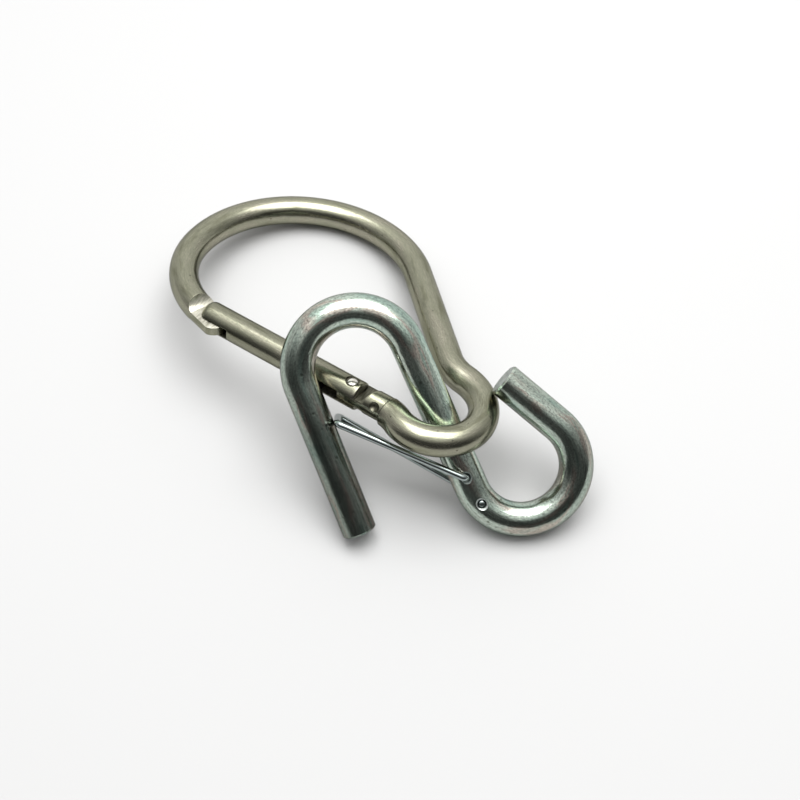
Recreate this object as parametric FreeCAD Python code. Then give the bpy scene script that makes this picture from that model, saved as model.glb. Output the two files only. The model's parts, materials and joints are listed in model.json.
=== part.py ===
import FreeCAD, Part
import math
import os

# Safety chain hook: a bent steel S-hook with a spring-wire latch, and a snap hook (carabiner)
# whose small eye is threaded on the S-hook's shank.  Millimetres, degrees.
#
# Hook frame: the shank runs along -Y from the origin, the safety bowl arches over to -X, and the
# lower bowl turns to +X.  Snap frame: the origin is the gate's hinge, the closed gate lies along
# -X and the body's bar leaves along +X.  Both hooks are flat in their own XY plane.

V = FreeCAD.Vector
X_AXIS = V(1, 0, 0)
Y_AXIS = V(0, 1, 0)
Z_AXIS = V(0, 0, 1)

# ---- S-hook, bent from 7/16 inch round bar
hook_bar_r = 5.55
shank_length = 50.5
arch_r = 18.1
arch_turn = 177.4
leg_length = 50.0
bowl_r = 17.4
bowl_turn = 206.2
bowl_end_length = 22.8
hook_end_chamfer = 0.6

# ---- wire latch: one spring wire bent to a U that straddles the shank
wire_r = 1.15
wire_hole_clearance = 0.08
hole_countersink = 0.35
leg_gap_to_bar = 0.2
front_hole = V(-0.3, -45.6, 0)
rear_hole = V(0.9, -55.5, 0)
latch_tip = V(-30.0, -13.0, 0)
wire_bend_r = 1.6
pin_end_setback = 0.5
tail_gap = 0.3

# ---- snap hook, bent from 10 mm round bar
snap_bar_r = 5.0
hinge_run = 12.1
throat_r = 14.6
throat_turn = 27.5
step_turn = 7.0
eye_near_r = 14.5
eye_near_turn = 131.0
eye_far_r = 18.5
eye_far_turn = 67.3
waist_r = 18.0
waist_turn = 34.1
back_r = 41.0
back_turn = 144.2
front_r = 34.5
front_turn = 63.2
neck_r = 4.5
neck_y = 0.35
neck_root_turn = 4.0
bar_step_chamfer = 0.35

# ---- snap hook's hinge: a flat tongue on the body between the gate's two cheeks
tongue_half = 1.6
cam_r = 4.4
cam_rise = 1.0
tongue_heel_x = -3.2
tongue_heel_y = -3.6
shoulder_x = 8.0
shoulder_lean = 19.0
recess_centre = V(10.9, -4.5, 3.2)
recess_r = 2.2

# ---- snap hook's nose: a flat tongue that enters the slot in the gate's tip
nose_half = 1.5
nose_length = 12.3
nose_shoulder_at = 0.7
nose_hollow_r = 4.6
nose_hollow_angles = (20.0, 82.0)
nose_corner_r = 4.2
nose_inner_y = 3.0
pocket_half = 1.5
pocket_x = -54.5
pocket_floor_y = -1.0

# ---- gate
gate_r = 4.85
gate_heel_x = 3.6
gate_tip_x = -59.3
gate_tip_round = 2.4
gate_heel_round = 0.6
slot_half = 1.85
hinge_slot_x = -9.5
nose_slot_x = -49.35
nose_slot_lean = 24.0
nose_slot_play = 0.8
bore_r = 1.8
bore_end_x = -34.0

# ---- rivet, nose pin, plunger and spring
rivet_r = 1.75
rivet_sink_r = 2.35
rivet_sink_z = 4.15
rivet_head_z = 4.75
rivet_dome = 0.5
cheek_fit = 0.02
tongue_fit = 0.08
nose_pin_r = 1.2
nose_pin_low_z = -4.45
nose_pin_high_z = 3.4
plunger_r = 1.72
plunger_back_x = -15.0
plunger_gap = 0.1
spring_coil_r = 1.38
spring_wire_r = 0.3
spring_turns = 11
spring_end_gap = 0.12

# ---- how the two hooks lie: the snap hook in the hook frame, then both on the ground
snap_turns = (150.6, 56.13, 147.14)
snap_offset = V(-22.54, -7.01, -3.42)
lay_turns = (2.48, 40.05, 22.09)

# ---- longer than anything it cuts, and the closest match when an edge is looked up
reach = 200.0
look_up = 0.05


def turned(turns):
    """Rotation about Z, then the new X, then the new Z."""
    first, second, third = turns
    about_z = FreeCAD.Rotation(Z_AXIS, first)
    about_x = FreeCAD.Rotation(X_AXIS, second)
    return about_z.multiply(about_x).multiply(FreeCAD.Rotation(Z_AXIS, third))


def unit(angle):
    """Unit vector in the XY plane at an angle from +X."""
    return V(math.cos(math.radians(angle)), math.sin(math.radians(angle)), 0)


def trace(runs, start, heading):
    """Edges of a flat tangent path.  A run is a length, or (radius, turn), positive to the left."""
    edges = []
    point = V(start)
    for run in runs:
        if isinstance(run, tuple):
            radius, turn = run
            side = math.copysign(1, turn)
            centre = point + unit(heading + 90 * side) * radius
            middle = centre + unit(heading + turn / 2 - 90 * side) * radius
            end = centre + unit(heading + turn - 90 * side) * radius
            edges.append(Part.Arc(point, middle, end).toShape())
            heading += turn
        else:
            end = point + unit(heading) * run
            edges.append(Part.LineSegment(point, end).toShape())
        point = end
    return edges, point, heading


def round_bar(edges, start, heading, radius):
    """Solid round bar along a path that starts with the given heading."""
    section = Part.Wire(Part.Circle(start, unit(heading), radius).toShape())
    return Part.Wire(edges).makePipeShell([section], True, False)


def rod(radius, start, end):
    """Round rod between two points."""
    axis = end - start
    return Part.makeCylinder(radius, axis.Length, start, axis)


def slab(outline, low_z, high_z):
    """Flat plate from closed outline points."""
    face = Part.Face(Part.makePolygon(outline + [outline[0]]))
    face.translate(V(0, 0, low_z))
    return face.extrude(V(0, 0, high_z - low_z))


def band(low_x, high_x, low_y, high_y, low_z, high_z):
    """Box from its limits."""
    return Part.makeBox(high_x - low_x, high_y - low_y, high_z - low_z, V(low_x, low_y, low_z))


def end_edges(solid, point):
    """Round edges whose centre is the given point."""
    found = []
    for edge in solid.Edges:
        circle = isinstance(edge.Curve, Part.Circle)
        if circle and edge.Curve.Center.distanceToPoint(point) < look_up:
            found.append(edge)
    return found


# ------------------------------------------------------------------ S-hook

def hook_path():
    """The S-hook's centreline from the leg's cut end to the lower bowl's cut end."""
    origin = V(0, 0, 0)
    _, leg_end, leg_heading = trace([(arch_r, arch_turn), leg_length], origin, 90)
    back = leg_heading + 180
    runs = [leg_length, (arch_r, -arch_turn), shank_length, (bowl_r, bowl_turn), bowl_end_length]
    edges, bowl_end, _ = trace(runs, leg_end, back)
    return edges, leg_end, back, bowl_end


def cross_hole(centre):
    """Through hole with a small countersink at both faces."""
    radius = wire_r + wire_hole_clearance
    half = hook_bar_r + hole_countersink
    hole = rod(radius, centre - Z_AXIS * half, centre + Z_AXIS * half)
    for side in (-1, 1):
        inner = centre + Z_AXIS * side * (hook_bar_r - hole_countersink)
        cone = Part.makeCone(radius, radius + 2 * hole_countersink, 2 * hole_countersink,
                             inner, Z_AXIS * side)
        hole = hole.fuse(cone)
    return hole


def make_s_hook():
    edges, leg_end, leg_heading, bowl_end = hook_path()
    bar = round_bar(edges, leg_end, leg_heading, hook_bar_r)
    bar = bar.makeChamfer(hook_end_chamfer, end_edges(bar, leg_end) + end_edges(bar, bowl_end))
    return bar.cut(cross_hole(front_hole)).cut(cross_hole(rear_hole))


# ------------------------------------------------------------------ wire latch

leg_z = hook_bar_r + leg_gap_to_bar + wire_r
pin_end_z = hook_bar_r - pin_end_setback


def bent_wire(corners, radius):
    """Round wire through straight runs, with one bend radius at each inner corner."""
    edges = []
    point = corners[0]
    for before, corner, after in zip(corners, corners[1:], corners[2:]):
        incoming = (corner - before).normalize()
        outgoing = (after - corner).normalize()
        turn = incoming.getAngle(outgoing)
        setback = radius * math.tan(turn / 2)
        bend_start = corner - incoming * setback
        bend_end = corner + outgoing * setback
        inward = (outgoing - incoming).normalize()
        centre = corner + inward * (radius / math.cos(turn / 2))
        edges.append(Part.LineSegment(point, bend_start).toShape())
        edges.append(Part.Arc(bend_start, centre - inward * radius, bend_end).toShape())
        point = bend_end
    edges.append(Part.LineSegment(point, corners[-1]).toShape())
    start_axis = (corners[1] - corners[0]).normalize()
    section = Part.Wire(Part.Circle(corners[0], start_axis, wire_r).toShape())
    return Part.Wire(edges).makePipeShell([section], True, False)


def rear_leg_direction():
    return (latch_tip - rear_hole).normalize()


def make_latch_wire():
    """Front pin, front leg, closed end and rear leg; it turns as one in the front hole."""
    up = Z_AXIS * leg_z
    tail_start = rear_hole - up + rear_leg_direction() * (wire_bend_r * 2 + tail_gap)
    corners = [front_hole - Z_AXIS * pin_end_z, front_hole + up, latch_tip + up,
               latch_tip - up, tail_start]
    return bent_wire(corners, wire_bend_r)


def make_latch_tail():
    """The wire's other end: it stays in the rear hole and lets the wire spring."""
    up = Z_AXIS * leg_z
    start = rear_hole - up + rear_leg_direction() * wire_bend_r * 2
    return bent_wire([start, rear_hole - up, rear_hole + Z_AXIS * pin_end_z], wire_bend_r)


# ------------------------------------------------------------------ snap hook body

def snap_path():
    """The snap hook's bar from the step at its hinge end round to the nose."""
    _, step, step_heading = trace([hinge_run, (throat_r, -step_turn)], V(0, 0, 0), 0)
    before = [(throat_r, step_turn - throat_turn), (eye_near_r, eye_near_turn),
              (eye_far_r, eye_far_turn), (waist_r, -waist_turn)]
    after = [(back_r, back_turn), (front_r, front_turn)]
    spine_heading = step_heading + step_turn - throat_turn + eye_near_turn + eye_far_turn - waist_turn
    _, end, _ = trace(before + after, step, step_heading)
    spine_length = -end.y / math.sin(math.radians(spine_heading))
    edges, nose, nose_heading = trace(before + [spine_length] + after, step, step_heading)
    return edges, step, step_heading, nose, nose_heading


def hinge_tongue_tool():
    """What is milled off either side of the hinge tongue, back to the leaning shoulder."""
    lean = math.tan(math.radians(shoulder_lean))
    high = shoulder_x + reach * lean
    low = shoulder_x - reach * lean
    outline = [V(-reach, -reach, 0), V(low, -reach, 0), V(high, reach, 0), V(-reach, reach, 0)]
    sides = slab(outline, tongue_half, reach)
    return sides.fuse(slab(outline, -reach, -tongue_half))


def hinge_tongue_outline():
    """Tongue seen along the rivet: a cam-shaped end that pushes the plunger as the gate opens."""
    cam = Part.makeCylinder(cam_r, 2 * tongue_half, V(0, cam_rise, -tongue_half), Z_AXIS)
    heel = band(tongue_heel_x, shoulder_x, tongue_heel_y, cam_rise, -tongue_half, tongue_half)
    root = band(0, hinge_run, neck_y - neck_r, neck_y + neck_r, -neck_r, neck_r)
    return cam.fuse(heel).fuse(root)


def make_hinge_end():
    """Neck set a little inwards of the bar and run into it, with its tongue, hole and recess."""
    start = V(0, neck_y, 0)
    neck, _, _ = trace([hinge_run, (throat_r, -step_turn - neck_root_turn)], start, 0)
    straight = rod(neck_r, start - X_AXIS * reach, start + X_AXIS * hinge_run)
    hinge = straight.common(hinge_tongue_outline())
    hinge = hinge.fuse(round_bar(neck, start, 0, neck_r)).cut(hinge_tongue_tool())
    hinge = hinge.cut(rod(rivet_r + tongue_fit, V(0, 0, -reach), V(0, 0, reach)))
    return hinge.cut(Part.makeSphere(recess_r, recess_centre))


def nose_frame(nose, heading):
    """Directions along the bar at the nose and across it towards the inside."""
    return unit(heading), unit(heading + 90)


def nose_shoulder_tool(nose, heading, side):
    """What is milled off one side of the nose: a hollow run-out, then flat along the tongue."""
    along, inward = nose_frame(nose, heading)
    up = Z_AXIS * side
    low, high = [math.radians(angle) for angle in nose_hollow_angles]
    crease = nose + along * nose_shoulder_at + up * nose_half
    centre = crease + (along * math.sin(low) + up * math.cos(low)) * nose_hollow_r
    on_arc = []
    for angle in (low, (low + high) / 2, high):
        on_arc.append(centre - (along * math.sin(angle) + up * math.cos(angle)) * nose_hollow_r)
    above = on_arc[2] + up * snap_bar_r
    beyond = crease + along * nose_length * 2
    edges = [Part.Arc(*on_arc).toShape()]
    corners = [on_arc[2], above, above + (beyond - above).dot(along) * along, beyond, crease]
    for first, second in zip(corners, corners[1:]):
        edges.append(Part.LineSegment(first, second).toShape())
    face = Part.Face(Part.Wire(edges))
    face.translate(inward * -snap_bar_r * 2)
    return face.extrude(inward * snap_bar_r * 4)


def nose_tongue(nose, heading):
    """Flat tongue beyond the nose shoulder, with a round outer corner and a pin pocket."""
    along, inward = nose_frame(nose, heading)
    start = nose - along * nose_half
    tip = nose + along * nose_length
    low = inward * -snap_bar_r
    outline = [start + low, tip + low, tip + inward * snap_bar_r, start + inward * snap_bar_r]
    plate = slab(outline, -nose_half, nose_half)
    corner = [edge for edge in plate.Edges if edge.CenterOfMass.distanceToPoint(tip + low) < look_up]
    plate = plate.makeFillet(nose_corner_r, corner)
    lean = math.tan(math.radians(nose_slot_lean))
    edge_x = nose_slot_x - nose_slot_play
    beyond = slab([V(edge_x + reach * lean, -reach, 0), V(reach, -reach, 0), V(reach, reach, 0),
                   V(edge_x - reach * lean, reach, 0)], -reach, reach)
    above = band(gate_tip_x, reach, nose_inner_y, reach, -reach, reach)
    pocket = band(pocket_x - pocket_half, pocket_x + pocket_half, pocket_floor_y, reach, -reach, reach)
    pocket_end = rod(pocket_half, V(pocket_x, pocket_floor_y, -reach), V(pocket_x, pocket_floor_y, reach))
    round_side = rod(snap_bar_r, nose - along * snap_bar_r, nose + along * reach)
    return plate.common(round_side).cut(beyond).cut(above).cut(pocket).cut(pocket_end)


def make_snap_body():
    edges, step, step_heading, nose, nose_heading = snap_path()
    bar = round_bar(edges, step, step_heading, snap_bar_r)
    bar = bar.makeChamfer(bar_step_chamfer, end_edges(bar, step))
    along, _ = nose_frame(nose, nose_heading)
    body = bar.fuse(rod(snap_bar_r, nose, nose + along * nose_shoulder_at))
    for side in (-1, 1):
        body = body.cut(nose_shoulder_tool(nose, nose_heading, side))
    body = body.fuse(nose_tongue(nose, nose_heading)).fuse(make_hinge_end())
    return body.removeSplitter()


# ------------------------------------------------------------------ gate and its small parts

def nose_slot_tool():
    """Saw slot in the gate's tip with a leaning floor."""
    lean = math.tan(math.radians(nose_slot_lean))
    outline = [V(-reach, -reach, 0), V(nose_slot_x + reach * lean, -reach, 0),
               V(nose_slot_x - reach * lean, reach, 0), V(-reach, reach, 0)]
    near = band(-reach, nose_slot_x + gate_r, -gate_r, gate_r, -slot_half, slot_half)
    return slab(outline, -slot_half, slot_half).common(near)


def make_gate():
    gate = rod(gate_r, V(gate_tip_x, 0, 0), V(gate_heel_x, 0, 0))
    gate = gate.makeFillet(gate_tip_round, end_edges(gate, V(gate_tip_x, 0, 0)))
    gate = gate.makeFillet(gate_heel_round, end_edges(gate, V(gate_heel_x, 0, 0)))
    gate = gate.cut(nose_slot_tool())
    gate = gate.cut(band(hinge_slot_x, reach, -reach, reach, -slot_half, slot_half))
    gate = gate.cut(rod(bore_r, V(bore_end_x, 0, 0), V(hinge_slot_x + bore_r, 0, 0)))
    gate = gate.cut(rod(rivet_r + cheek_fit, V(0, 0, -reach), V(0, 0, reach)))
    for side in (-1, 1):
        gate = gate.cut(rod(rivet_sink_r, V(0, 0, side * rivet_sink_z), V(0, 0, side * reach)))
    pin_top = V(pocket_x, 0, nose_pin_high_z + cheek_fit)
    return gate.cut(rod(nose_pin_r + cheek_fit, V(pocket_x, 0, -reach), pin_top))


def make_hinge_rivet():
    pin = rod(rivet_r, V(0, 0, -rivet_head_z), V(0, 0, rivet_head_z))
    rims = end_edges(pin, V(0, 0, rivet_head_z)) + end_edges(pin, V(0, 0, -rivet_head_z))
    return pin.makeFillet(rivet_dome, rims)


def make_nose_pin():
    return rod(nose_pin_r, V(pocket_x, 0, nose_pin_low_z), V(pocket_x, 0, nose_pin_high_z))


def plunger_centre_x():
    """Centre of the plunger's round tip where it rests against the cam."""
    touching = cam_r + plunger_r
    return -math.sqrt(touching ** 2 - cam_rise ** 2) - plunger_gap


def make_gate_plunger():
    centre = V(plunger_centre_x(), 0, 0)
    stem = rod(plunger_r, V(plunger_back_x, 0, 0), centre)
    return stem.fuse(Part.makeSphere(plunger_r, centre)).removeSplitter()


def make_gate_spring():
    """Compression spring in the gate's bore, between its end and the plunger."""
    start_x = bore_end_x + spring_wire_r + spring_end_gap
    end_x = plunger_back_x - spring_wire_r - spring_end_gap
    length = end_x - start_x
    helix = Part.makeHelix(length / spring_turns, length, spring_coil_r)
    climb = math.atan2(length / spring_turns, 2 * math.pi * spring_coil_r)
    tangent = V(0, math.cos(climb), math.sin(climb))
    section = Part.Wire(Part.Circle(V(spring_coil_r, 0, 0), tangent, spring_wire_r).toShape())
    coil = Part.Wire(helix.Edges).makePipeShell([section], True, True)
    coil.Placement = FreeCAD.Placement(V(start_x, 0, 0), FreeCAD.Rotation(Y_AXIS, 90))
    return coil


# ------------------------------------------------------------------ assembly

hook_nodes = {"s_hook": make_s_hook, "latch_wire": make_latch_wire, "latch_tail": make_latch_tail}
snap_nodes = {"snap_body": make_snap_body, "snap_gate": make_gate, "hinge_rivet": make_hinge_rivet,
              "nose_pin": make_nose_pin, "gate_plunger": make_gate_plunger,
              "gate_spring": make_gate_spring}

snap_placement = FreeCAD.Placement(snap_offset, turned(snap_turns))
lay_placement = FreeCAD.Placement(V(0, 0, 0), turned(lay_turns))

shapes = {}
for name, make in hook_nodes.items():
    shape = make()
    shape.Placement = lay_placement.multiply(shape.Placement)
    shapes[name] = shape
for name, make in snap_nodes.items():
    shape = make()
    shape.Placement = lay_placement.multiply(snap_placement).multiply(shape.Placement)
    shapes[name] = shape

# The origin is on the ground under the middle of the whole object.
box = Part.makeCompound(list(shapes.values())).optimalBoundingBox(False)
ground = V(-box.Center.x, -box.Center.y, -box.ZMin)

os.makedirs("parts", exist_ok=True)
for name, shape in shapes.items():
    shape = shape.Solids[0]
    shape.translate(ground)
    shape.exportStep("parts/" + name + ".step")
    print(name, shape.ShapeType, len(shape.Solids), shape.isValid(), round(shape.Volume, 1))

# Joint places and axes for the record.
whole = FreeCAD.Placement(ground, FreeCAD.Rotation()).multiply(lay_placement)
snap_whole = whole.multiply(snap_placement)
print("hook frame", whole.Base, whole.Rotation.Q)
print("snap frame", snap_whole.Base, snap_whole.Rotation.Q)
print("size", box.XLength, box.YLength, box.ZLength)
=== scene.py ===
import json
import math

import bmesh
import bpy
from mathutils import Matrix, Vector


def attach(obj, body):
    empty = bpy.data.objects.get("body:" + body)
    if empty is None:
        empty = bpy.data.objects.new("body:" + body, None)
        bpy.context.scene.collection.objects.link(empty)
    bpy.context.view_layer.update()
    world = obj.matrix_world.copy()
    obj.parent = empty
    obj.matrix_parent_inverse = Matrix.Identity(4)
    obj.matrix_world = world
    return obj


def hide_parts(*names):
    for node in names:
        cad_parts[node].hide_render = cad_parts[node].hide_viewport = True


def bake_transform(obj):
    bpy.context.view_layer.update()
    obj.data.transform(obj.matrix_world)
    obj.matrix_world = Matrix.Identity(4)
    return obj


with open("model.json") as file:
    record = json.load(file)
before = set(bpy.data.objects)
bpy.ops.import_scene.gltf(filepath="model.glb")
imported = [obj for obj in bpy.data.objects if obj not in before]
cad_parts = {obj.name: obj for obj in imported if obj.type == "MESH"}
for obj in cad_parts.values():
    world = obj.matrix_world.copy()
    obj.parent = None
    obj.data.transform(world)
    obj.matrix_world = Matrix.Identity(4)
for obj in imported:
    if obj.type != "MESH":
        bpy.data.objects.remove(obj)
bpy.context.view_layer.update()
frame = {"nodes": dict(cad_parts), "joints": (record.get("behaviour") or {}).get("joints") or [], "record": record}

# A safety chain S-hook with a spring-wire latch, linked through the eye of a snap hook.
# Lengths are millimetres in each hook's own frame, as in the CAD, and are placed in metres.
# Angles are degrees, and an arc is (radius, turn), positive to the left.
MM = 0.001
ORIGIN = Vector((0, 0, 0))
X_AXIS = Vector((1, 0, 0))
Y_AXIS = Vector((0, 1, 0))
Z_AXIS = Vector((0, 0, 1))

# ---- S-hook: leg, arch, shank, bowl and the bowl's straight end
HOOK_R = 5.55
LEG = 50.0
ARCH = (18.1, 177.4)
SHANK = 50.5
BOWL = (17.4, 206.2)
BOWL_END = 22.8
HOOK_LENGTH = (LEG + ARCH[0] * math.radians(ARCH[1]) + SHANK + BOWL[0] * math.radians(BOWL[1])
               + BOWL_END)
END_CHAMFER = 0.6
FRONT_HOLE = Vector((-0.3, -45.6, 0))
REAR_HOLE = Vector((0.9, -55.5, 0))
HOLE_R = 1.23
COUNTERBORE_R = 1.55
COUNTERBORE_DEPTH = 1.3
COUNTERSINK_R = 2.1
COUNTERSINK_DEPTH = 0.45

# ---- wire latch
WIRE_R = 1.15
WIRE_BEND = 1.6
WIRE_LEG_Z = 6.9
WIRE_END_Z = 5.05
LATCH_TIP = Vector((-30.0, -13.0, 0))
# A wire's rounded end: (depth, size) as shares of its radius.
WIRE_DOME = ((0.0, 0.35), (0.05, 0.6), (0.14, 0.8), (0.26, 0.93), (0.43, 1.0))

# ---- snap hook's bar, from its hinge end round to its nose
SNAP_R = 5.0
NECK_R = 4.5
NECK_Y = 0.35
NECK_ROOT_TURN = 4.0
NECK_STEP_CHAMFER = 0.35
HINGE_RUN = 12.1
THROAT_R = 14.6
THROAT_TURN = 27.5
STEP_TURN = 7.0
EYE_NEAR = (14.5, 131.0)
EYE_FAR = (18.5, 67.3)
WAIST = (18.0, -34.1)
BACK = (41.0, 144.2)
FRONT = (34.5, 63.2)
MILLED_EDGE = 0.13

# ---- hinge tongue
TONGUE_HALF = 1.6
CAM_R = 4.4
CAM_RISE = 1.0
CAM_STOCK = 1.0
HEEL = Vector((-3.2, -3.6, 0))
SHOULDER_X = 8.0
SHOULDER_LEAN = 19.0
RECESS_R = 2.2
RECESS_CENTRE = Vector((10.9, -4.5, 3.2))

# ---- nose
NOSE_HALF = 1.5
NOSE_LENGTH = 12.3
NOSE_SHOULDER_AT = 0.7
NOSE_HOLLOW_R = 4.6
NOSE_HOLLOW_ANGLES = (20.0, 82.0)
NOSE_CORNER_R = 4.2
NOSE_INNER_Y = 3.0
POCKET_HALF = 1.5
POCKET_X = -54.5
POCKET_FLOOR = -1.0

# ---- gate, rivet and spring
GATE_R = 4.85
GATE_HEEL_X = 3.6
GATE_TIP_X = -59.3
TIP_ROUND = 2.4
HEEL_ROUND = 0.6
SLOT_HALF = 1.85
HINGE_SLOT_X = -9.5
NOSE_SLOT_X = -49.35
NOSE_SLOT_LEAN = 24.0
NOSE_SLOT_PLAY = 0.8
BORE_R = 1.8
BORE_END_X = -34.0
RIVET_R = 1.75
RIVET_SWELL = 0.02
RIVET_PLAY = 0.08
RIVET_SINK_R = 2.35
RIVET_SINK_Z = 4.15
RIVET_HEAD_Z = 4.75
RIVET_CROWN = 0.6
PLUNGER_BACK_X = -15.0
SPRING_GAP = 0.42
SPRING_COIL_R = 1.38
SPRING_WIRE_R = 0.3
SPRING_TURNS = 11

# ---- fineness: points round a section, lengths of a step, and steps along a curve
BAR_SIDES = 72
TURNED_SIDES = 48
WIRE_SIDES = 28
SPRING_SIDES = 12
BAR_STEP = 0.7
WIRE_STEP = 1.0
WIRE_BEND_STEP = 0.25
ARC_STEPS = 24
BALL_STEPS = 20
SPRING_STEPS = 20
HOLLOW_STEPS = 12
POCKET_STEPS = 12
CORNER_STEPS = 10
TIP_STEPS = 9
CROWN_STEPS = 6
HEEL_STEPS = 5
BALL_POLE = 88.0
BEVEL_ANGLE = 32.0
SHARP_ANGLE = 35.0
# Longer than the bars are thick, so that cutters reach past them.
FAR = 12.0

# ---- looks
# How bright the metals' reflections stay at grazing angles.
EDGE_TINT = 0.55
# A noise texture mostly stays between these.
NOISE_LOW = 0.3
NOISE_HIGH = 0.7

# ---- camera, in the S-hook's frame
CAMERA_PLACE = Vector((7.78, 58.07, 466.0))
CAMERA_FORWARD = Vector((-0.0365, -0.1552, -0.9872))
CAMERA_UP = Vector((0.4041, 0.9012, -0.1566))
CAMERA_LENS = 67.28
CAMERA_SENSOR = 36.0

# ---- studio, in metres and watts
FLOOR_HALF = 12.0
FLOOR_DROP = 0.00002
FLOOR_COLOUR = (0.55, 0.55, 0.548, 1.0)
SOFTBOX_PLACE = Vector((0.065, 0.19, 0.85))
SOFTBOX_WIDTH = 0.77
SOFTBOX_DEPTH = 0.68
SOFTBOX_POWER = 7.3
WALL_STRENGTH = 2.5
OVERHEAD_SHARE = 0.9


# ------------------------------------------------------------------ places from the frame

def joint(name):
    """A joint of the part, by its name."""
    return next(item for item in frame["joints"] if item["name"] == name)


def mount(name):
    """A mount of the part, by its name."""
    return next(item for item in frame["record"]["mounts"] if item["name"] == name)


def axes_matrix(x_axis, z_axis, origin):
    """Places shapes drawn in millimetres at an origin in metres."""
    y_axis = z_axis.cross(x_axis)
    turn = Matrix((x_axis, y_axis, z_axis)).transposed().to_4x4()
    return Matrix.Translation(origin) @ turn @ Matrix.Scale(MM, 4)


def hook_place():
    """The S-hook's frame, from its two bowls' centres and the latch's axis."""
    z_axis = -Vector(joint("latch_hinge")["axis"]).normalized()
    lower = Vector(mount("open_bowl")["pos_m"])
    upper = Vector(mount("latched_bowl")["pos_m"])
    local = Vector((BOWL[0] + ARCH[0], -SHANK, 0))
    run = lower - upper
    run = (run - z_axis * run.dot(z_axis)).normalized()
    x_axis = Matrix.Rotation(-math.atan2(local.y, local.x), 3, z_axis) @ run
    origin = upper + x_axis * (ARCH[0] * MM)
    return axes_matrix(x_axis, z_axis, origin)


def snap_place():
    """The snap hook's frame, from the gate's hinge and the plunger's line."""
    z_axis = -Vector(joint("gate_hinge")["axis"]).normalized()
    x_axis = -Vector(joint("plunger_slide")["axis"])
    x_axis = (x_axis - z_axis * x_axis.dot(z_axis)).normalized()
    return axes_matrix(x_axis, z_axis, Vector(joint("gate_hinge")["pos_m"]))


HOOK = hook_place()
SNAP = snap_place()


# ------------------------------------------------------------------ lines and rings

def unit(angle):
    """Direction in the flat frame."""
    return Vector((math.cos(math.radians(angle)), math.sin(math.radians(angle)), 0))


def circle(centre, side, other, radius, count):
    """Points round a circle that starts at side and turns towards other."""
    points = []
    for index in range(count):
        turn = 2 * math.pi * index / count
        points.append(centre + (side * math.cos(turn) + other * math.sin(turn)) * radius)
    return points


def arc(centre, radius, first, last, steps=ARC_STEPS):
    """Points on a flat arc."""
    points = []
    for index in range(steps + 1):
        angle = first + (last - first) * index / steps
        points.append(centre + unit(angle) * radius)
    return points


def trace(runs, start, heading):
    """Stations (point, heading, length) along a flat tangent path of straight runs and arcs."""
    stations = [(Vector(start), heading, 0.0)]
    point, travelled = Vector(start), 0.0
    for run in runs:
        if isinstance(run, tuple):
            radius, turn = run
            side = math.copysign(1, turn)
            length = radius * abs(math.radians(turn))
            centre = point + unit(heading + 90 * side) * radius
            count = max(2, math.ceil(length / BAR_STEP))
            for index in range(1, count + 1):
                now = heading + turn * index / count
                stations.append((centre + unit(now - 90 * side) * radius, now,
                                 travelled + length * index / count))
            heading += turn
        else:
            length = run
            count = max(1, math.ceil(length / BAR_STEP))
            for index in range(1, count + 1):
                stations.append((point + unit(heading) * length * index / count, heading,
                                 travelled + length * index / count))
        point = stations[-1][0]
        travelled += length
    return stations


def straight(start, end):
    """Points after start, evenly spaced up to end."""
    count = max(1, round((end - start).length / WIRE_STEP))
    return [start.lerp(end, index / count) for index in range(1, count + 1)]


def bent_line(corners, radius):
    """Points along straight runs with one bend radius at each inner corner."""
    line = [corners[0]]
    for before, corner, after in zip(corners, corners[1:], corners[2:]):
        incoming = (corner - before).normalized()
        outgoing = (after - corner).normalized()
        turn = incoming.angle(outgoing)
        bend_start = corner - incoming * (radius * math.tan(turn / 2))
        inward = (outgoing - incoming).normalized()
        centre = corner + inward * (radius / math.cos(turn / 2))
        axis = incoming.cross(outgoing).normalized()
        line += straight(line[-1], bend_start)
        count = max(4, math.ceil(radius * turn / WIRE_BEND_STEP))
        for index in range(1, count + 1):
            turned = Matrix.Rotation(turn * index / count, 3, axis) @ (bend_start - centre)
            line.append(centre + turned)
    return line + straight(line[-1], corners[-1])


# ------------------------------------------------------------------ meshes

def new_object(name, shape, materials):
    """Object from a bmesh, with its materials."""
    mesh = bpy.data.meshes.new(name)
    bmesh.ops.recalc_face_normals(shape, faces=shape.faces)
    shape.to_mesh(mesh)
    shape.free()
    for material in materials:
        mesh.materials.append(material)
    made = bpy.data.objects.new(name, mesh)
    bpy.context.scene.collection.objects.link(made)
    return made


def loft(name, rings, lengths, materials, end_slots=(0, 0)):
    """Closed skin over rings of equal count.  Two UV maps hold the length along the piece and the
    cosine and sine round it, so grain follows the bar without a seam."""
    shape = bmesh.new()
    along = shape.loops.layers.uv.new("bar_a")
    around = shape.loops.layers.uv.new("bar_b")
    rows = [[shape.verts.new(point) for point in ring] for ring in rings]
    place = {}
    for row, length in zip(rows, lengths):
        for index, vertex in enumerate(row):
            turn = 2 * math.pi * index / len(row)
            place[vertex] = (length, math.cos(turn), math.sin(turn))
    for first, second in zip(rows, rows[1:]):
        for index in range(len(first)):
            after = (index + 1) % len(first)
            shape.faces.new((first[index], first[after], second[after], second[index]))
    for row, slot in ((rows[0], end_slots[0]), (rows[-1], end_slots[1])):
        cap = shape.faces.new(row)
        cap.material_index = slot
    for face in shape.faces:
        for loop in face.loops:
            length, cosine, sine = place[loop.vert]
            loop[along].uv = (length, cosine)
            loop[around].uv = (sine, 0.0)
    return new_object(name, shape, materials)


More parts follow.
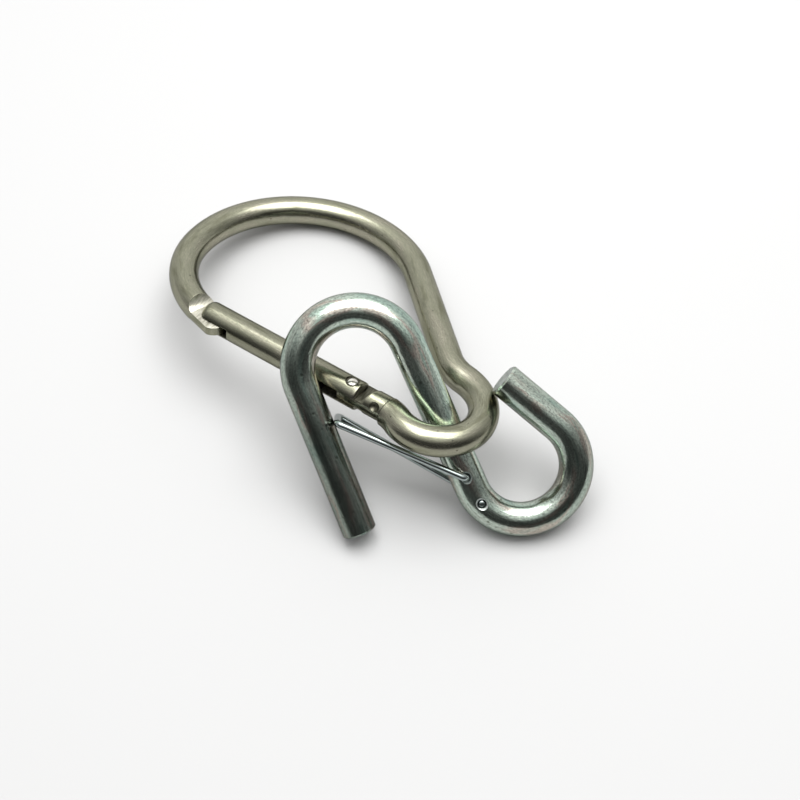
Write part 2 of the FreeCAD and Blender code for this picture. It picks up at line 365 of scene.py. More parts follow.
def bar(name, stations, radius, materials, end_slots=(0, 0), chamfers=(0, 0)):
    """Round bar along flat stations, with chamfered ends where asked."""
    total = stations[-1][2]
    kept = []
    for point, heading, length in stations:
        near = length < chamfers[0] or total - length < chamfers[1]
        if not near or length in (0.0, total):
            kept.append((point, heading, length))
    for size, (point, heading, length), sign in ((chamfers[0], stations[0], 1),
                                                 (chamfers[1], stations[-1], -1)):
        if size:
            kept.append((point + unit(heading) * size * sign, heading, length + size * sign))
    kept.sort(key=lambda station: station[2])
    rings = []
    for point, heading, length in kept:
        inset = max(chamfers[0] - length, chamfers[1] - (total - length), 0)
        rings.append(circle(point, unit(heading + 90), Z_AXIS, radius - inset, BAR_SIDES))
    return loft(name, rings, [station[2] for station in kept], materials, end_slots)


def lathe(name, profile, origin, axis, materials):
    """Turned piece from (radius, height) pairs along an axis."""
    side = axis.orthogonal().normalized()
    other = axis.cross(side)
    rings = []
    for radius, height in profile:
        rings.append(circle(origin + axis * height, side, other, radius, TURNED_SIDES))
    return loft(name, rings, [height for radius, height in profile], materials)


def mirrored(half):
    """A lathe's whole profile from its upper half."""
    return [(radius, -height) for radius, height in reversed(half)] + half


def ball(name, radius, centre, material):
    """Closed ball, as a lathe with small flat poles."""
    profile = []
    for index in range(BALL_STEPS + 1):
        angle = math.radians(-BALL_POLE + 2 * BALL_POLE * index / BALL_STEPS)
        profile.append((radius * math.cos(angle), radius * math.sin(angle)))
    return lathe(name, profile, centre, Z_AXIS, [material])


def prism(name, outline, material, low=-FAR, high=FAR, axes=(ORIGIN, X_AXIS, Y_AXIS, Z_AXIS)):
    """Plate from a closed outline.  The axes are its origin, the outline's two, and the one across
    which it runs from low to high."""
    origin, along, up, across = axes
    rings = []
    for reach in (low, high):
        rings.append([origin + along * point[0] + up * point[1] + across * reach
                      for point in outline])
    return loft(name, rings, [low, high], [material])


def wire(name, line, radius, material, sides):
    """Round wire along points in space, with rounded ends."""
    tangents = []
    for index in range(len(line)):
        before, after = max(0, index - 1), min(len(line) - 1, index + 1)
        tangents.append((line[after] - line[before]).normalized())
    side = tangents[0].orthogonal().normalized()
    rings, lengths, travelled = [], [], 0.0
    for index, (point, tangent) in enumerate(zip(line, tangents)):
        side = (side - tangent * side.dot(tangent)).normalized()
        if index:
            travelled += (point - line[index - 1]).length
        steps = [(0.0, radius)]
        if index == 0:
            steps = [(depth * radius, radius * size) for depth, size in WIRE_DOME]
        if index == len(line) - 1:
            steps = [(-depth * radius, radius * size) for depth, size in reversed(WIRE_DOME)]
        for shift, size in steps:
            rings.append(circle(point + tangent * shift, side, tangent.cross(side), size, sides))
            lengths.append(travelled + shift)
    return loft(name, rings, lengths, [material])


def bake(made):
    """Applies a piece's modifiers to its mesh."""
    graph = bpy.context.evaluated_depsgraph_get()
    mesh = bpy.data.meshes.new_from_object(made.evaluated_get(graph), depsgraph=graph)
    old = made.data
    made.modifiers.clear()
    made.data = mesh
    mesh.name = old.name
    bpy.data.meshes.remove(old)


def combine(base, tool, operation="DIFFERENCE"):
    """Boolean of two closed meshes; the tool's faces keep the tool's material."""
    step = base.modifiers.new("combine", "BOOLEAN")
    step.operation = operation
    step.object = tool
    step.solver = "EXACT"
    step.material_mode = "TRANSFER"
    bake(base)
    mesh = tool.data
    bpy.data.objects.remove(tool)
    bpy.data.meshes.remove(mesh)


def soften(made, width):
    """Small bevels along a piece's sharp edges."""
    step = made.modifiers.new("soften", "BEVEL")
    step.width = width
    step.segments = 2
    step.limit_method = "ANGLE"
    step.angle_limit = math.radians(BEVEL_ANGLE)
    step.use_clamp_overlap = True
    step.miter_outer = "MITER_ARC"
    bake(made)


def place_piece(made, place, body):
    """Puts a finished piece in the row frame, smooth shaded, on its body."""
    made.data.transform(place)
    for face in made.data.polygons:
        face.use_smooth = True
    made.data.set_sharp_from_angle(angle=math.radians(SHARP_ANGLE))
    made.data.update()
    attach(made, body)


# ------------------------------------------------------------------ material tools

def clear_material(name):
    """Metal with an empty node tree round its shader."""
    material = bpy.data.materials.new(name)
    material.use_nodes = True
    tree = material.node_tree
    tree.nodes.clear()
    shader = tree.nodes.new("ShaderNodeBsdfPrincipled")
    output = tree.nodes.new("ShaderNodeOutputMaterial")
    tree.links.new(shader.outputs["BSDF"], output.inputs["Surface"])
    shader.inputs["Metallic"].default_value = 1.0
    shader.inputs["Specular Tint"].default_value = (EDGE_TINT, EDGE_TINT, EDGE_TINT, 1.0)
    return material, tree, shader


def math_node(tree, operation, first, second):
    """Two sockets or numbers put together."""
    made = tree.nodes.new("ShaderNodeMath")
    made.operation = operation
    for socket, value in zip(made.inputs, (first, second)):
        if isinstance(value, (int, float)):
            socket.default_value = value
        else:
            tree.links.new(value, socket)
    return made.outputs[0]


def uv_parts(tree, name):
    """The two numbers of a UV map."""
    source = tree.nodes.new("ShaderNodeUVMap")
    source.uv_map = name
    split = tree.nodes.new("ShaderNodeSeparateXYZ")
    tree.links.new(source.outputs[0], split.inputs[0])
    return split.outputs[0], split.outputs[1]


def bar_share(tree, whole):
    """How far along its bar a point is, as a share of the whole length in millimetres."""
    return math_node(tree, "DIVIDE", uv_parts(tree, "bar_a")[0], whole)


def object_vector(tree, scale, stretch=(1, 1, 1), turn=(0, 0, 0)):
    """Object coordinates in millimetres, scaled, turned and stretched."""
    source = tree.nodes.new("ShaderNodeTexCoord")
    mapping = tree.nodes.new("ShaderNodeMapping")
    mapping.inputs["Rotation"].default_value = turn
    mapping.inputs["Scale"].default_value = [scale * part / MM for part in stretch]
    tree.links.new(source.outputs["Object"], mapping.inputs["Vector"])
    return mapping.outputs[0]


def noise(tree, vector, detail=4.0, rough=0.5, warp=0.0):
    """Cloudy texture over a vector that is already scaled."""
    made = tree.nodes.new("ShaderNodeTexNoise")
    made.inputs["Scale"].default_value = 1.0
    made.inputs["Detail"].default_value = detail
    made.inputs["Roughness"].default_value = rough
    made.inputs["Distortion"].default_value = warp
    tree.links.new(vector, made.inputs["Vector"])
    return made.outputs[0]


def bar_noise(tree, along, around, **settings):
    """Noise that follows a bar: its length scaled by along, the way round it by around."""
    length, cosine = uv_parts(tree, "bar_a")
    sine = uv_parts(tree, "bar_b")[0]
    merged = tree.nodes.new("ShaderNodeCombineXYZ")
    for socket, value, scale in zip(merged.inputs, (length, cosine, sine), (along, around, around)):
        tree.links.new(math_node(tree, "MULTIPLY", value, scale), socket)
    return noise(tree, merged.outputs[0], **settings)


def grain(tree, scale, **settings):
    """Noise with no direction."""
    return noise(tree, object_vector(tree, scale), **settings)


def pits(tree, scale, inner, outer):
    """Scattered round spots: 0 inside the inner radius of a cell, 1 outside the outer one."""
    cells = tree.nodes.new("ShaderNodeTexVoronoi")
    cells.inputs["Scale"].default_value = 1.0
    tree.links.new(object_vector(tree, scale), cells.inputs["Vector"])
    return ramp(tree, cells.outputs["Distance"], [(inner, 0.0), (outer, 1.0)])


def ramp(tree, value, stops, interpolation="EASE"):
    """Colour ramp from (position, colour) stops, where a number is a grey."""
    made = tree.nodes.new("ShaderNodeValToRGB")
    made.color_ramp.interpolation = interpolation
    while len(made.color_ramp.elements) < len(stops):
        made.color_ramp.elements.new(0.5)
    for element, (position, colour) in zip(made.color_ramp.elements, stops):
        element.position = position
        element.color = (*colour, 1.0) if isinstance(colour, tuple) else (colour,) * 3 + (1.0,)
    tree.links.new(value, made.inputs[0])
    return made.outputs[0]


def remap(tree, value, low, high, out_low, out_high):
    """Straight-line change of range, held at its ends."""
    made = tree.nodes.new("ShaderNodeMapRange")
    for name, number in (("From Min", low), ("From Max", high), ("To Min", out_low),
                         ("To Max", out_high)):
        made.inputs[name].default_value = number
    tree.links.new(value, made.inputs["Value"])
    return made.outputs[0]


def spread(tree, value, low, high):
    """A noise's usual range, brought to low and high."""
    return remap(tree, value, NOISE_LOW, NOISE_HIGH, low, high)


def mix(tree, factor, first, second, blend="MIX"):
    """Mix of two colours, each a socket or a tuple."""
    made = tree.nodes.new("ShaderNodeMix")
    made.data_type = "RGBA"
    made.blend_type = blend
    for socket, value in ((made.inputs[0], factor), (made.inputs[6], first),
                          (made.inputs[7], second)):
        if isinstance(value, (int, float)):
            socket.default_value = value
        elif isinstance(value, tuple):
            socket.default_value = (*value, 1.0)
        else:
            tree.links.new(value, socket)
    return made.outputs[2]


def multiply(tree, first, second):
    """Two colours multiplied."""
    return mix(tree, 1.0, first, second, "MULTIPLY")


def bump(tree, layers):
    """Chained bumps from (height, strength, distance in mm)."""
    normal = None
    for height, strength, depth in layers:
        made = tree.nodes.new("ShaderNodeBump")
        made.inputs["Strength"].default_value = strength
        made.inputs["Distance"].default_value = depth * MM
        tree.links.new(height, made.inputs["Height"])
        if normal is not None:
            tree.links.new(normal, made.inputs["Normal"])
        normal = made.outputs[0]
    return normal


def connect(tree, shader, colour, roughness, layers=()):
    """Joins a finished look to its shader."""
    tree.links.new(colour, shader.inputs["Base Color"])
    tree.links.new(roughness, shader.inputs["Roughness"])
    if layers:
        tree.links.new(bump(tree, layers), shader.inputs["Normal"])


# ------------------------------------------------------------------ materials

def zinc_material():
    """Bright zinc plate: bluish grey with faint passivation tints, drawn streaks, specks and dings.
    The colour is darkest on the leg, as painted shade, and palest on the arch and shank, as painted highlight."""
    material, tree, shader = clear_material("zinc_plate")
    tint = bar_noise(tree, along=0.045, around=1.3, detail=3.0, warp=0.4)
    streak = bar_noise(tree, along=0.10, around=9.0, detail=6.0, rough=0.6)
    speck = bar_noise(tree, along=1.3, around=12.0, detail=5.0, rough=0.75)
    wave = bar_noise(tree, along=0.12, around=1.6, detail=2.0)
    pit = pits(tree, scale=0.16, inner=0.05, outer=0.11)
    length = bar_share(tree, HOOK_LENGTH)
    # Painted shade and highlight along the bar: the leg darkened, the arch and shank lightened.
    painted_light_along_bar = ramp(tree, length, [(0.14, 0.45), (0.21, 0.70), (0.28, 1.0), (0.55, 1.13),
                                  (0.68, 0.85), (0.86, 0.74), (0.93, 0.95)])
    dull = ramp(tree, length, [(0.16, 0.05), (0.28, 0.0)])
    colour = ramp(tree, tint, [(0.30, (0.41, 0.53, 0.46)), (0.43, (0.51, 0.60, 0.52)),
                               (0.52, (0.55, 0.62, 0.54)), (0.60, (0.57, 0.52, 0.45)),
                               (0.70, (0.45, 0.56, 0.48))])
    colour = multiply(tree, colour, ramp(tree, speck, [(0.36, 0.42), (0.48, 0.93), (0.64, 1.22)]))
    colour = multiply(tree, colour, spread(tree, streak, 0.78, 1.12))
    colour = multiply(tree, colour, painted_light_along_bar)
    colour = multiply(tree, colour, mix(tree, pit, (0.55, 0.55, 0.52), (1, 1, 1)))
    gloss = math_node(tree, "ADD", spread(tree, streak, 0.10, 0.21),
                      remap(tree, speck, 0.35, 0.65, 0.05, -0.03))
    connect(tree, shader, colour, math_node(tree, "ADD", gloss, dull),
            [(wave, 0.35, 0.25), (streak, 0.35, 0.03), (speck, 0.6, 0.03), (pit, 0.5, 0.05)])
    return material


def zinc_cut_material():
    """Sawn and plated bar end: matte, with fine parallel saw marks."""
    material, tree, shader = clear_material("zinc_cut_end")
    saw = noise(tree, object_vector(tree, 2.4, stretch=(1.0, 0.08, 0.3), turn=(0.2, 0.1, 0.6)))
    cloud = grain(tree, 0.5, detail=3.0)
    colour = ramp(tree, cloud, [(0.35, (0.56, 0.61, 0.58)), (0.62, (0.74, 0.78, 0.75))])
    colour = multiply(tree, colour, spread(tree, saw, 0.82, 1.08))
    connect(tree, shader, colour, spread(tree, saw, 0.34, 0.50), [(saw, 0.6, 0.05)])
    return material


def hole_material():
    """Drilled hole with turning marks, darkened as painted shade."""
    material, tree, shader = clear_material("drilled_zinc_painted_shade")
    mark = grain(tree, 3.0)
    colour = ramp(tree, mark, [(0.35, (0.07, 0.085, 0.08)), (0.65, (0.17, 0.19, 0.18))])
    connect(tree, shader, colour, spread(tree, mark, 0.30, 0.45), [(mark, 0.4, 0.03)])
    return material


def wire_material():
    """Bright spring wire with faint drawing lines."""
    material, tree, shader = clear_material("bright_wire")
    line = bar_noise(tree, along=0.15, around=4.0)
    colour = ramp(tree, line, [(0.35, (0.27, 0.32, 0.31)), (0.6, (0.43, 0.48, 0.47))])
    connect(tree, shader, colour, spread(tree, line, 0.07, 0.17), [(line, 0.3, 0.015)])
    return material


def stainless_material(name, tone):
    """Satin polished stainless bar: warm grey, fine lines along it, specks and a few dark pits."""
    material, tree, shader = clear_material(name)
    cloud = bar_noise(tree, along=0.06, around=1.5, warp=0.3)
    line = bar_noise(tree, along=0.35, around=22.0, detail=5.0, rough=0.6)
    wave = bar_noise(tree, along=0.09, around=1.2, detail=2.0)
    speck = grain(tree, 4.5, rough=0.7)
    pit = pits(tree, scale=0.20, inner=0.035, outer=0.07)
    colour = ramp(tree, cloud, [(0.32, (0.235, 0.235, 0.165)), (0.48, (0.315, 0.315, 0.235)),
                                (0.66, (0.35, 0.338, 0.262))])
    colour = multiply(tree, colour, spread(tree, speck, 0.62, 1.28))
    colour = multiply(tree, colour, spread(tree, line, 0.82, 1.14))
    colour = multiply(tree, colour, mix(tree, pit, (0.22, 0.20, 0.17), (1, 1, 1)))
    colour = multiply(tree, colour, (tone, tone, tone))
    gloss = math_node(tree, "ADD", spread(tree, line, 0.18, 0.25), spread(tree, cloud, -0.03, 0.05))
    connect(tree, shader, colour, gloss,
            [(wave, 0.3, 0.2), (line, 0.3, 0.02), (speck, 0.35, 0.02), (pit, 0.6, 0.05)])
    return material


def milled_material(name, angle, low, high):
    """Milled face of the snap hook between two tones, with cutter lines at an angle across it."""
    material, tree, shader = clear_material(name)
    source = tree.nodes.new("ShaderNodeTexCoord")
    local = tree.nodes.new("ShaderNodeMapping")
    local.inputs["Rotation"].default_value = SNAP.to_3x3().normalized().inverted().to_euler()
    tree.links.new(source.outputs["Object"], local.inputs["Vector"])
    across = tree.nodes.new("ShaderNodeMapping")
    across.inputs["Rotation"].default_value = (0, 0, math.radians(angle))
    across.inputs["Scale"].default_value = (3.6 / MM, 0.35 / MM, 0.8 / MM)
    tree.links.new(local.outputs[0], across.inputs["Vector"])
    line = noise(tree, across.outputs[0], rough=0.55)
    speck = grain(tree, 3.0, rough=0.6)
    colour = ramp(tree, line, [(0.34, low), (0.62, high)])
    colour = multiply(tree, colour, spread(tree, speck, 0.85, 1.08))
    connect(tree, shader, colour, spread(tree, line, 0.28, 0.42),
            [(line, 0.55, 0.04), (speck, 0.3, 0.02)])
    return material


def pin_material():
    """Turned stainless: rivet, nose pin and plunger."""
    material, tree, shader = clear_material("turned_pin")
    mark = grain(tree, 2.0, detail=5.0)
    colour = ramp(tree, mark, [(0.35, (0.66, 0.64, 0.57)), (0.62, (0.84, 0.82, 0.76))])
    connect(tree, shader, colour, spread(tree, mark, 0.12, 0.24), [(mark, 0.3, 0.02)])
    return material


def spring_material():
    """Drawn spring wire, darker."""
    material, tree, shader = clear_material("spring_wire_steel")
    line = bar_noise(tree, along=0.8, around=3.0, detail=3.0)
    colour = ramp(tree, line, [(0.35, (0.40, 0.40, 0.38)), (0.65, (0.58, 0.58, 0.55))])
    connect(tree, shader, colour, spread(tree, line, 0.22, 0.35))
    return material


ZINC = zinc_material()
ZINC_CUT = zinc_cut_material()
# Painted shade for the bores of the cross holes.
BORE_PAINTED_SHADE = hole_material()
WIRE = wire_material()
STAINLESS = stainless_material("satin_stainless", 1.0)
GATE_STEEL = stainless_material("satin_gate_stainless", 0.86)
MILLED = milled_material("milled_stainless", 16.0, (0.36, 0.35, 0.28), (0.58, 0.565, 0.48))
# Painted shade: a dark copy of the milled look for the hinge flats, the recess, the slots, the rivet seats and the
# bar's step.
PAINTED_SHADE = milled_material("milled_stainless_painted_shade", 0.0, (0.06, 0.06, 0.045), (0.15, 0.145, 0.11))
PIN = pin_material()
SPRING = spring_material()


# ------------------------------------------------------------------ S-hook and its latch

def hole_tool(centre):
    """Cutter for a cross hole: a bore darkened as painted shade, wider near both faces, with a bright countersink.
    """
    mouth = 2 * COUNTERSINK_R - COUNTERBORE_R
    profile = mirrored([(HOLE_R, HOOK_R - COUNTERBORE_DEPTH),
                        (COUNTERBORE_R, HOOK_R - COUNTERBORE_DEPTH),
                        (COUNTERBORE_R, HOOK_R - COUNTERSINK_DEPTH),
                        (mouth, HOOK_R + COUNTERSINK_DEPTH)])
    tool = lathe("hole", profile, centre, Z_AXIS, [BORE_PAINTED_SHADE, ZINC_CUT])
    last_cone = (len(profile) - 2) * TURNED_SIDES
    for first in (0, last_cone):
        for face in tool.data.polygons[first:first + TURNED_SIDES]:
            face.material_index = 1
    return tool


def make_hook():
    """The S-hook's bar, traced from its leg's end, with its two cross holes."""
    leg_end, heading = trace([ARCH, LEG], ORIGIN, 90)[-1][:2]
    stations = trace([LEG, (ARCH[0], -ARCH[1]), SHANK, BOWL, BOWL_END], leg_end, heading + 180)
    made = bar("s_hook_bar", stations, HOOK_R, [ZINC, ZINC_CUT], (1, 1), (END_CHAMFER, END_CHAMFER))
    for centre in (FRONT_HOLE, REAR_HOLE):
        combine(made, hole_tool(centre))
    place_piece(made, HOOK, "hook")
    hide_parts("s_hook")


def make_latch():
    """One spring wire: front pin, front leg, closed end, rear leg, rear pin."""
    up = Z_AXIS * WIRE_LEG_Z
    end = Z_AXIS * WIRE_END_Z
    corners = [FRONT_HOLE - end, FRONT_HOLE + up, LATCH_TIP + up, LATCH_TIP - up, REAR_HOLE - up,
               REAR_HOLE + end]
    made = wire("latch_spring_wire", bent_line(corners, WIRE_BEND), WIRE_R, WIRE, WIRE_SIDES)
    place_piece(made, HOOK, "latch")
    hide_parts("latch_wire", "latch_tail")
    made.parent = None
    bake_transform(made)


# ------------------------------------------------------------------ snap hook body

def snap_stations():
    """The snap hook's bar from the step at its hinge end round to its tip, and its nose's root.
    The straight spine is as long as it takes to bring the nose onto the gate's line."""
    step, step_heading = trace([HINGE_RUN, (THROAT_R, -STEP_TURN)], ORIGIN, 0)[-1][:2]
    before = [(THROAT_R, STEP_TURN - THROAT_TURN), EYE_NEAR, EYE_FAR, WAIST]
    spine_heading = EYE_NEAR[1] + EYE_FAR[1] + WAIST[1] - THROAT_TURN
    unclosed = trace(before + [BACK, FRONT], step, step_heading)
    spine = -unclosed[-1][0].y / math.sin(math.radians(spine_heading))
    runs = before + [spine, BACK, FRONT]
    nose, nose_heading = trace(runs, step, step_heading)[-1][:2]
    return trace(runs + [NOSE_LENGTH], step, step_heading), nose, nose_heading


SNAP_LINE, NOSE, NOSE_HEADING = snap_stations()
NOSE_ALONG = unit(NOSE_HEADING)
NOSE_INWARD = unit(NOSE_HEADING + 90)


def make_hinge_end():
    """The turned neck and the flat cam-ended tongue."""
    start = Vector((-CAM_R - CAM_STOCK, NECK_Y, 0))
    root = (THROAT_R, -STEP_TURN - NECK_ROOT_TURN)
    stations = trace([CAM_R + CAM_STOCK + HINGE_RUN, root], start, 0)
    made = bar("hinge_end", stations, NECK_R, [STAINLESS])
    drop = math.sqrt(CAM_R ** 2 - HEEL.x ** 2)
    low_angle = 360 - math.degrees(math.atan2(drop, HEEL.x))
    outline = [(FAR * 2, -FAR), (0, -FAR), (0, HEEL.y), HEEL, (HEEL.x, CAM_RISE - drop)]
    outline += arc(Vector((0, CAM_RISE, 0)), CAM_R, low_angle, 90)[1:]
    outline += [(0, FAR), (FAR * 2, FAR)]
    combine(made, prism("cam", outline, STAINLESS), "INTERSECT")
    lean = FAR * math.tan(math.radians(SHOULDER_LEAN))
    flat = [(-FAR, -FAR), (SHOULDER_X - lean, -FAR), (SHOULDER_X + lean, FAR), (-FAR, FAR)]
    # The tongue's flat faces are darkened as painted shade.
    for low, high in ((TONGUE_HALF, FAR), (-FAR, -TONGUE_HALF)):
        combine(made, prism("flat", flat, PAINTED_SHADE, low, high))
    radius = RIVET_R + RIVET_PLAY
    combine(made, lathe("hole", [(radius, -FAR), (radius, FAR)], ORIGIN, Z_AXIS, [MILLED]))
    # The recess is darkened as painted shade.
    combine(made, ball("recess", RECESS_R, RECESS_CENTRE, PAINTED_SHADE))
    return made


def mill_nose(made):
    """Mills the bar's straight end to a flat nose with hollow shoulders, a rounded outer corner, a
    leaning end, a flat inner edge and a pocket for the nose pin."""
    low, high = [math.radians(angle) for angle in NOSE_HOLLOW_ANGLES]
    centre_along = NOSE_SHOULDER_AT + NOSE_HOLLOW_R * math.sin(low)
    centre_up = NOSE_HALF + NOSE_HOLLOW_R * math.cos(low)
    for side in (-1, 1):
        outline = []
        for index in range(HOLLOW_STEPS + 1):
            angle = low + (high - low) * index / HOLLOW_STEPS
            outline.append((centre_along - NOSE_HOLLOW_R * math.sin(angle),
                            (centre_up - NOSE_HOLLOW_R * math.cos(angle)) * side))
        outline += [(outline[-1][0], FAR * side), (FAR * 2, FAR * side), (FAR * 2, NOSE_HALF * side)]
        combine(made, prism("shoulder", outline, MILLED, axes=(NOSE, NOSE_ALONG, Z_AXIS, NOSE_INWARD)))
    tip = NOSE + NOSE_ALONG * NOSE_LENGTH
    corner = tip - NOSE_ALONG * NOSE_CORNER_R - NOSE_INWARD * (SNAP_R - NOSE_CORNER_R)
    outline = arc(corner, NOSE_CORNER_R, NOSE_HEADING - 90, NOSE_HEADING, CORNER_STEPS)
    outline += [outline[-1] + NOSE_ALONG * FAR, outline[-1] + (NOSE_ALONG - NOSE_INWARD) * FAR,
                outline[0] - NOSE_INWARD * FAR]
    combine(made, prism("corner", outline, STAINLESS))
    lean = FAR * math.tan(math.radians(NOSE_SLOT_LEAN))
    edge = NOSE_SLOT_X - NOSE_SLOT_PLAY
    beyond = [(edge + lean, -FAR), (edge + FAR * 2, -FAR), (edge + FAR * 2, FAR), (edge - lean, FAR)]
    combine(made, prism("beyond", beyond, MILLED))
    above = [(GATE_TIP_X, NOSE_INNER_Y), (GATE_TIP_X + FAR * 2, NOSE_INNER_Y),
             (GATE_TIP_X + FAR * 2, FAR), (GATE_TIP_X, FAR)]
    combine(made, prism("above", above, MILLED))
    pocket = [(POCKET_X + POCKET_HALF, FAR), (POCKET_X - POCKET_HALF, FAR)]
    pocket += arc(Vector((POCKET_X, POCKET_FLOOR, 0)), POCKET_HALF, 180, 360, POCKET_STEPS)
    combine(made, prism("pocket", pocket, MILLED))


def make_snap_body():
    """The snap hook's bar, its nose and its milled hinge end.  The bar's end face and chamfer, at
    the step down to the neck, are darkened as painted shade."""
    made = bar("snap_hook_bar", SNAP_LINE, SNAP_R, [STAINLESS, PAINTED_SHADE], (1, 0), (NECK_STEP_CHAMFER, 0))
    # The bar's end face at the step is darkened as painted shade.
    for face in made.data.polygons[:BAR_SIDES]:
        face.material_index = 1
    mill_nose(made)
    combine(made, make_hinge_end(), "UNION")
    soften(made, MILLED_EDGE)
    place_piece(made, SNAP, "snap")
    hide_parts("snap_body")


# ------------------------------------------------------------------ gate and its small parts

def gate_sections():
    """The gate's (x, radius) from its rounded tip to its heel."""
    first, last = GATE_TIP_X + TIP_ROUND, GATE_HEEL_X - HEEL_ROUND
    sections = []
    for index in range(TIP_STEPS + 1):
        angle = math.radians(90 * index / TIP_STEPS)
        sections.append((GATE_TIP_X + TIP_ROUND * (1 - math.cos(angle)),
                         GATE_R - TIP_ROUND * (1 - math.sin(angle))))
    count = math.ceil((GATE_HEEL_X - GATE_TIP_X) / BAR_STEP)
    for index in range(1, count + 1):
        sections.append((first + (last - first) * index / count, GATE_R))
    for index in range(1, HEEL_STEPS + 1):
        angle = math.radians(90 * index / HEEL_STEPS)
        sections.append((last + HEEL_ROUND * math.sin(angle),
                         GATE_R - HEEL_ROUND * (1 - math.cos(angle))))
    return sections


def make_gate():
    """The gate: rounded tip, saw slots for nose and hinge tongue, spring bore, rivet seats."""
    sections = gate_sections()
    rings = [circle(X_AXIS * x, Y_AXIS, Z_AXIS, radius, BAR_SIDES) for x, radius in sections]
    made = loft("gate_bar", rings, [x for x, radius in sections], [GATE_STEEL, MILLED], (0, 1))
    past_tip = GATE_TIP_X - SNAP_R - FAR
    lean = FAR * math.tan(math.radians(NOSE_SLOT_LEAN))
    nose_slot = [(past_tip, -FAR), (NOSE_SLOT_X + lean, -FAR), (NOSE_SLOT_X - lean, FAR),
                 (past_tip, FAR)]
    hinge_slot = [(HINGE_SLOT_X, -FAR), (FAR, -FAR), (FAR, FAR), (HINGE_SLOT_X, FAR)]
    # The slots' faces are darkened as painted shade.
    for slot in (nose_slot, hinge_slot):
        combine(made, prism("slot", slot, PAINTED_SHADE, -SLOT_HALF, SLOT_HALF))
    bore = [(BORE_R, BORE_END_X), (BORE_R, HINGE_SLOT_X + BORE_R)]
    combine(made, lathe("bore", bore, ORIGIN, X_AXIS, [MILLED]))
    # The rivet seats are darkened as painted shade.
    seat = mirrored([(RIVET_R + RIVET_SWELL, RIVET_SINK_Z), (RIVET_SINK_R, RIVET_SINK_Z),
                     (RIVET_SINK_R, FAR)])
    combine(made, lathe("seat", seat, ORIGIN, Z_AXIS, [PAINTED_SHADE]))
    soften(made, MILLED_EDGE)
    place_piece(made, SNAP, "gate")
    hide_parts("snap_gate")


def make_rivet():
    """The hinge rivet with domed ends, swollen to fill its hole in the gate."""
    dome = []
    for index in range(CROWN_STEPS + 1):
        angle = math.radians(90 * index / CROWN_STEPS)
        dome.append((RIVET_R * math.cos(angle) + RIVET_SWELL,
                     RIVET_HEAD_Z - RIVET_CROWN + RIVET_CROWN * math.sin(angle)))
    made = lathe("rivet_pin", mirrored(dome), ORIGIN, Z_AXIS, [PIN])
    place_piece(made, SNAP, "gate")
    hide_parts("hinge_rivet")


def make_spring():
    """The coil spring between the bore's end and the plunger."""
    first = BORE_END_X + SPRING_GAP
    last = PLUNGER_BACK_X - SPRING_GAP
    count = SPRING_TURNS * SPRING_STEPS
    line = []
    for index in range(count + 1):
        share = index / count
        turn = 2 * math.pi * SPRING_TURNS * share
        line.append(Vector((first + (last - first) * share, SPRING_COIL_R * math.cos(turn),
                            SPRING_COIL_R * math.sin(turn))))
    made = wire("coil_spring", line, SPRING_WIRE_R, SPRING, SPRING_SIDES)
    place_piece(made, SNAP, "gate")
    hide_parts("gate_spring")
    made.parent = None
    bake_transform(made)


def paint_cad_nodes():
    """The nose pin and the plunger keep their CAD shapes."""
    for name in ("nose_pin", "gate_plunger"):
        node = frame["nodes"][name]
        node.data.materials.clear()
        node.data.materials.append(PIN)


make_hook()
make_latch()
make_snap_body()
make_gate()
make_rivet()
make_spring()
paint_cad_nodes()


# ------------------------------------------------------------------ floor, light, camera

def make_floor():
    """Plain pale floor, a hair below the hooks."""
    shape = bmesh.new()
    bmesh.ops.create_grid(shape, x_segments=8, y_segments=8, size=FLOOR_HALF)
    material, tree, shader = clear_material("pale_floor")
    shader.inputs["Metallic"].default_value = 0.0
    shader.inputs["Roughness"].default_value = 0.7
    shader.inputs["Base Color"].default_value = FLOOR_COLOUR
    made = new_object("floor", shape, [material])
    made.location.z = -FLOOR_DROP


def make_softbox():
    """One large softbox overhead, facing straight down."""
    data = bpy.data.lights.new("softbox_top", "AREA")
    data.shape = "RECTANGLE"
    data.size = SOFTBOX_WIDTH
    data.size_y = SOFTBOX_DEPTH
    data.energy = SOFTBOX_POWER
    made = bpy.data.objects.new("softbox_top", data)
    made.location = SOFTBOX_PLACE
    made.rotation_mode = "QUATERNION"
    made.rotation_quaternion = (-Z_AXIS).to_track_quat("-Z", "Y")
    bpy.context.scene.collection.objects.link(made)


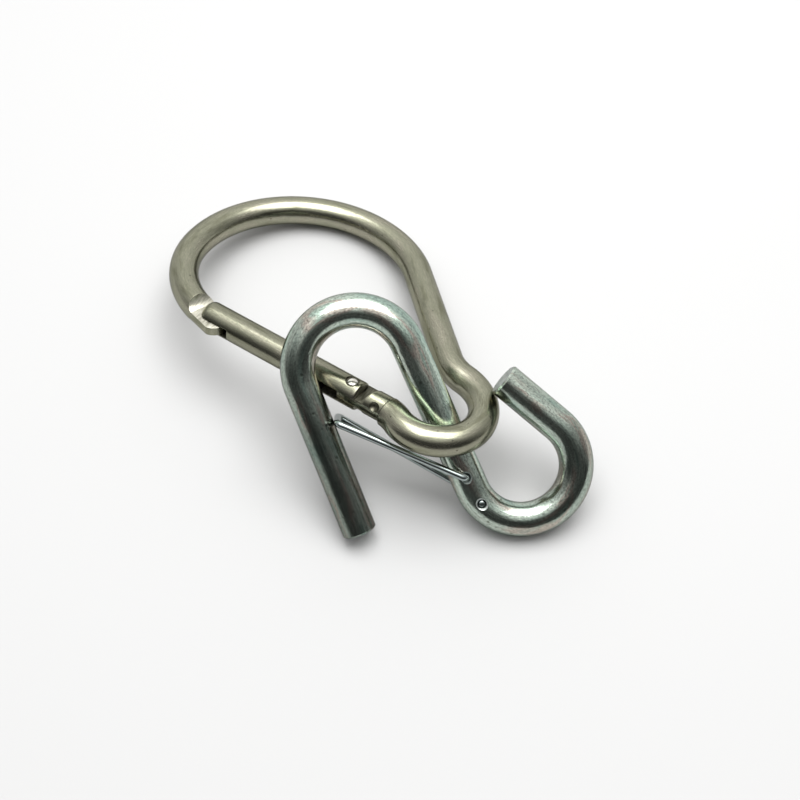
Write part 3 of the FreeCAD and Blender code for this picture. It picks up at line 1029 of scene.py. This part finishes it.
def make_world():
    """Studio walls: darker near the horizon, pale overhead, darkest in front."""
    world = bpy.data.worlds.new("studio")
    world.use_nodes = True
    tree = world.node_tree
    tree.nodes.clear()
    output = tree.nodes.new("ShaderNodeOutputWorld")
    background = tree.nodes.new("ShaderNodeBackground")
    tree.links.new(background.outputs[0], output.inputs["Surface"])
    source = tree.nodes.new("ShaderNodeTexCoord")
    split = tree.nodes.new("ShaderNodeSeparateXYZ")
    tree.links.new(source.outputs["Generated"], split.inputs[0])
    backward, upward = split.outputs[1], split.outputs[2]
    height = ramp(tree, upward, [(0.0, 0.44), (0.45, 0.44), (0.71, 0.56), (0.82, 0.8),
                                 (0.95, 0.92)], "LINEAR")
    overhead = math_node(tree, "POWER", math_node(tree, "MAXIMUM", upward, 0.0), 3.0)
    reach = math_node(tree, "ADD", backward, math_node(tree, "MULTIPLY", overhead, OVERHEAD_SHARE))
    depth = ramp(tree, remap(tree, reach, -1.0, 1.0, 0.0, 1.0),
                 [(0.27, 0.06), (0.40, 0.18), (0.50, 0.35), (0.75, 0.60), (1.0, 1.0)], "LINEAR")
    tree.links.new(multiply(tree, height, depth), background.inputs["Color"])
    background.inputs["Strength"].default_value = WALL_STRENGTH
    bpy.context.scene.world = world


def make_camera():
    """Camera above the S-hook, looking down on its face."""
    data = bpy.data.cameras.new("camera")
    data.sensor_width = CAMERA_SENSOR
    data.lens = CAMERA_LENS
    data.clip_start = 0.01
    data.clip_end = 100.0
    made = bpy.data.objects.new("camera", data)
    made.location = HOOK @ CAMERA_PLACE
    turn = HOOK.to_3x3().normalized()
    forward = (turn @ CAMERA_FORWARD).normalized()
    right = forward.cross(turn @ CAMERA_UP).normalized()
    axes = Matrix((right, right.cross(forward), -forward)).transposed()
    made.rotation_mode = "QUATERNION"
    made.rotation_quaternion = axes.to_quaternion()
    bpy.context.scene.collection.objects.link(made)
    bpy.context.scene.camera = made


make_floor()
make_world()
make_softbox()
make_camera()
bpy.context.scene.view_settings.view_transform = "Standard"
bpy.context.scene.view_settings.look = "None"
